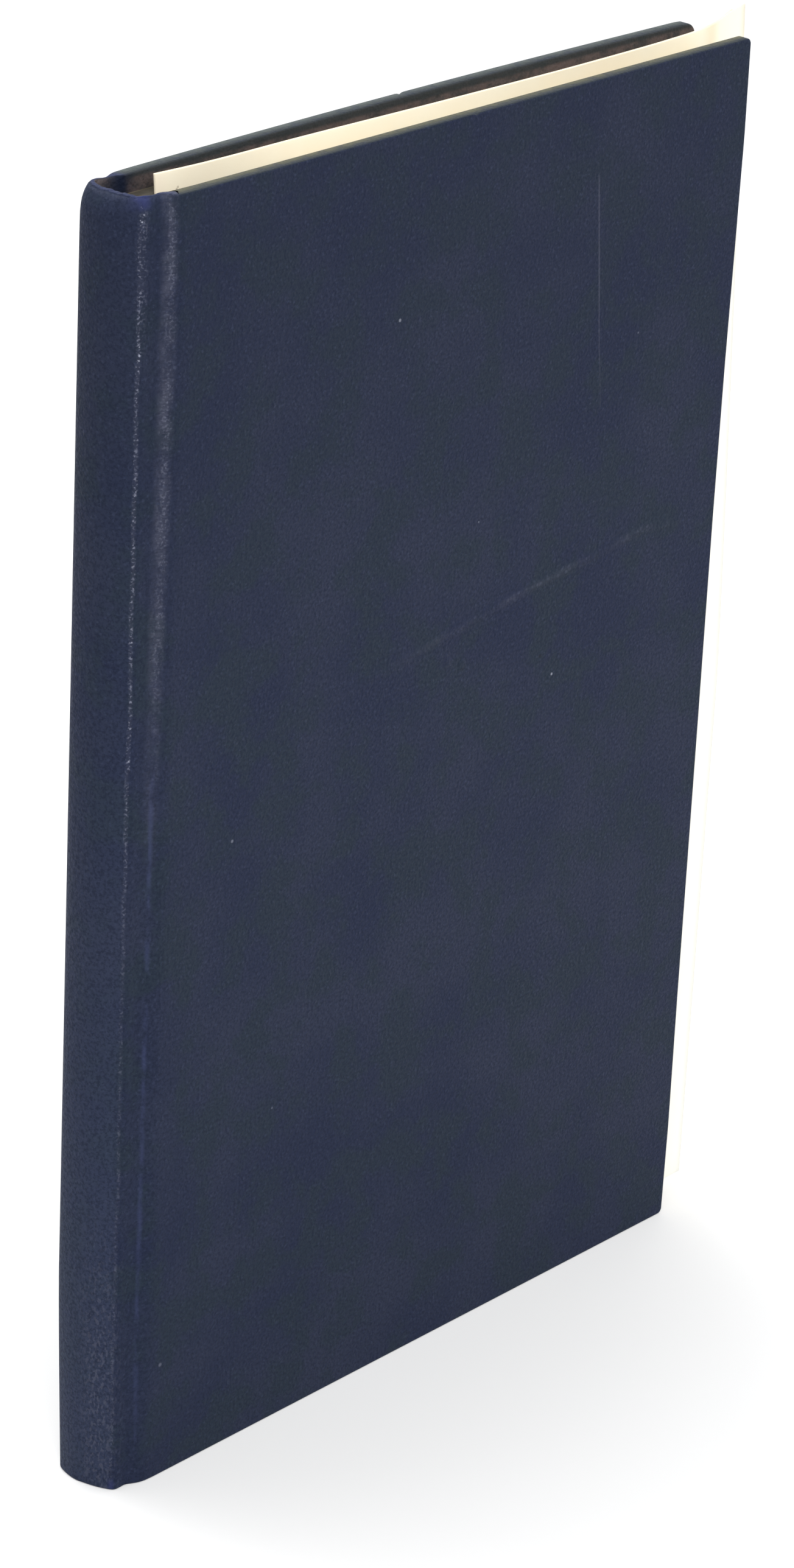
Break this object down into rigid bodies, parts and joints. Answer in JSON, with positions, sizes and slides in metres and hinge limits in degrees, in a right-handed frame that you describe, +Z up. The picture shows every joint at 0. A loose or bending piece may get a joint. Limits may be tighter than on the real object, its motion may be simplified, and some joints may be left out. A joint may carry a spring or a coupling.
{
  "type": "hardback book",
  "caption": "Slim hardback book in plain dark leathercloth, standing on its tail, with covers that open and a cream folded leaf laid in past the fore edge.",
  "frame": {"origin": "middle of the footprint, on the surface that the book stands on", "axes": "+Z up from tail to head, +X from the spine to the fore edge, front cover facing -Y"},
  "size_m": [0.1584, 0.0144, 0.222],
  "materials": {
    "leathercloth": "grained navy leathercloth, satin, scuffed pale along the spine ridge and joints",
    "board": "raw grey board",
    "pages": "cut page edges, matte",
    "endpaper": "wove paper, toned by age, matte",
    "leaf_paper": "smooth cream paper, matte",
    "lining": "open woven mull"
  },
  "bodies": {
    "book_block": {"text_block": "pages", "spine_lining": "lining", "front_flyleaf": "endpaper", "back_flyleaf": "endpaper", "loose_leaf": "leaf_paper", "spine_cloth": "leathercloth", "spine_inlay": "board"},
    "front_cover": {"front_board": "board", "front_cover_cloth": "leathercloth", "front_pastedown": "endpaper"},
    "back_cover": {"back_board": "board", "back_cover_cloth": "leathercloth", "back_pastedown": "endpaper"}
  },
  "joints": [
    {"name": "front_cover_hinge", "type": "hinge", "parent": "book_block", "child": "front_cover", "pos_m": [-0.0742, -0.00675, 0.111], "axis": [0, 0, -1], "range_deg": [0, 175]},
    {"name": "back_cover_hinge", "type": "hinge", "parent": "book_block", "child": "back_cover", "pos_m": [-0.0742, 0.00675, 0.111], "axis": [0, 0, 1], "range_deg": [0, 175]}
  ]
}
